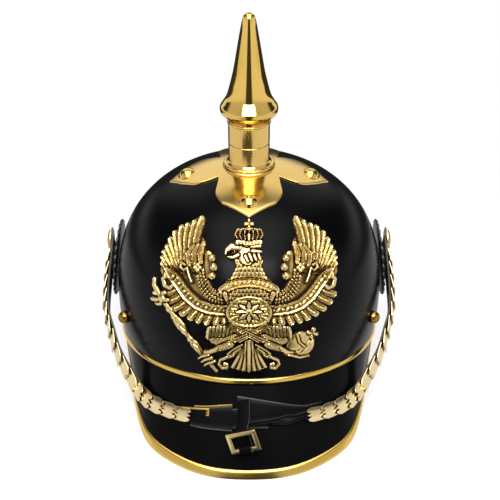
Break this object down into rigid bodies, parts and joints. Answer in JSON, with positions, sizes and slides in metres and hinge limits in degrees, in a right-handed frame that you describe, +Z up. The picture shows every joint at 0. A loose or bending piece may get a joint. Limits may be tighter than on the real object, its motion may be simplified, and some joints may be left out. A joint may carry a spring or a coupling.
{
  "type": "pickelhaube",
  "caption": "Lacquered leather spiked helmet with a front visor, neck guard, cross shaped base plate, unscrewing spike, eagle plate, cockades, scaled chin strap and buckle.",
  "frame": {"origin": "on the spike axis, at the level of the surface the helmet stands on", "axes": "+Z up along the spike, front visor towards -Y, wearer's left towards +X"},
  "size_m": [0.2074, 0.2876, 0.2464],
  "materials": {
    "black_lacquer": "black lacquered leather, satin gloss",
    "spike_brass": "polished brass",
    "plate_brass": "satin brass",
    "eagle_brass": "aged brass with dark recesses",
    "trim_brass": "polished yellow brass",
    "scale_brass": "satin brass",
    "steel": "plain steel",
    "strap_leather": "black leather",
    "cockade_black": "black painted tin",
    "lining_leather": "brown lining leather"
  },
  "bodies": {
    "helmet": {"skull": "black_lacquer", "front_visor": "black_lacquer", "neck_guard": "black_lacquer", "front_visor_trim": "trim_brass", "neck_guard_trim": "trim_brass", "front_seam_strip": "trim_brass", "rear_seam_strip": "trim_brass", "side_ball_studs": "trim_brass", "side_ball_nuts": "steel", "base_plate": "plate_brass", "base_plate_studs": "spike_brass", "base_plate_nuts": "steel", "spike_neck": "plate_brass", "neck_ring_nut": "steel", "eagle_plate": "eagle_brass", "eagle_nuts": "steel", "rear_spine": "plate_brass", "neck_guard_spine": "plate_brass", "spine_rivets": "plate_brass", "right_boss": "scale_brass", "left_boss": "scale_brass", "right_boss_nut": "steel", "left_boss_nut": "steel", "right_cockade": "cockade_black", "left_cockade": "cockade_black", "sweatband": "lining_leather", "liner_tongues": "lining_leather"},
    "spike_lift": {"spike_washer": "plate_brass"},
    "spike": {"spike_cone": "spike_brass", "spike_plug": "spike_brass"},
    "chinstrap": {"right_chinscales": "scale_brass", "left_chinscales": "scale_brass", "right_scale_backing": "strap_leather", "left_scale_backing": "strap_leather", "right_strap_eyelet": "scale_brass", "left_strap_eyelet": "scale_brass", "right_strap": "strap_leather", "left_strap_tab": "strap_leather", "left_tab_edge": "trim_brass", "buckle_tab": "strap_leather"},
    "buckle": {"buckle_frame": "trim_brass"}
  },
  "joints": [
    {"name": "spike_rise", "type": "slide", "parent": "helmet", "child": "spike_lift", "axis": [0, 0, 1], "range_m": [0, 0.006]},
    {"name": "spike_unscrew", "type": "hinge", "parent": "spike_lift", "child": "spike", "pos_m": [0, 0, 0.1766], "axis": [0, 0, 1], "range_deg": [0, 1080]},
    {"name": "chinstrap_swing", "type": "hinge", "parent": "helmet", "child": "chinstrap", "pos_m": [0, 0.012, 0.0765], "axis": [-1, 0, 0], "range_deg": [0, 90]},
    {"name": "buckle_tilt", "type": "hinge", "parent": "chinstrap", "child": "buckle", "pos_m": [-0.00167, -0.13761, 0.01697], "axis": [0.9185, -0.1357, 0.3715], "range_deg": [0, 80]}
  ],
  "couplings": [
    {"joint": "spike_rise", "follows": "spike_unscrew", "m_per_rad": 0.0003183}
  ]
}
